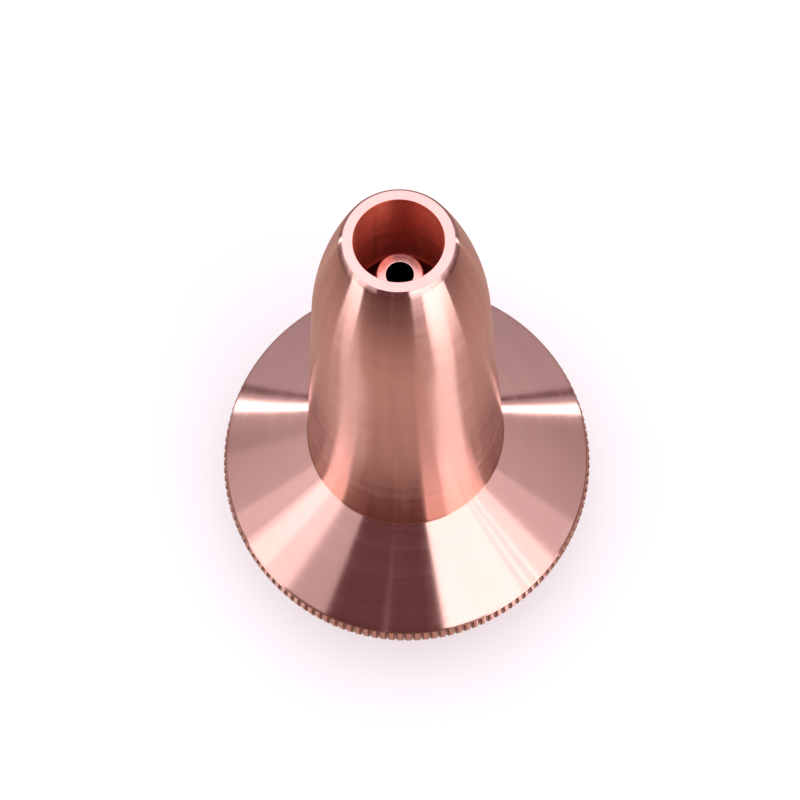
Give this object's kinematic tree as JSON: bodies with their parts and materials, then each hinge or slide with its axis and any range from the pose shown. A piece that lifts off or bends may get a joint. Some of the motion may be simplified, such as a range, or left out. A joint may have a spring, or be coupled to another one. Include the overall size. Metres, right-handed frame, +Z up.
{
  "type": "laser cutting nozzle",
  "caption": "Double-layer laser cutting nozzle: turned copper body with conical knurled flange, tapered nose and threaded stub, with a pressed-in inner nozzle.",
  "frame": {"origin": "centre of the stub's end, on the surface that the nozzle stands on", "axes": "+Z up along the nozzle's axis, from the threaded stub towards the mouth; +X across the flange"},
  "size_m": [0.032, 0.032, 0.0488],
  "materials": {
    "outer_copper": "fine-turned bare copper, satin",
    "inner_copper": "fine-turned bare copper, satin"
  },
  "bodies": {
    "root": {"outer_nozzle": "outer_copper", "inner_nozzle": "inner_copper"}
  },
  "joints": []
}
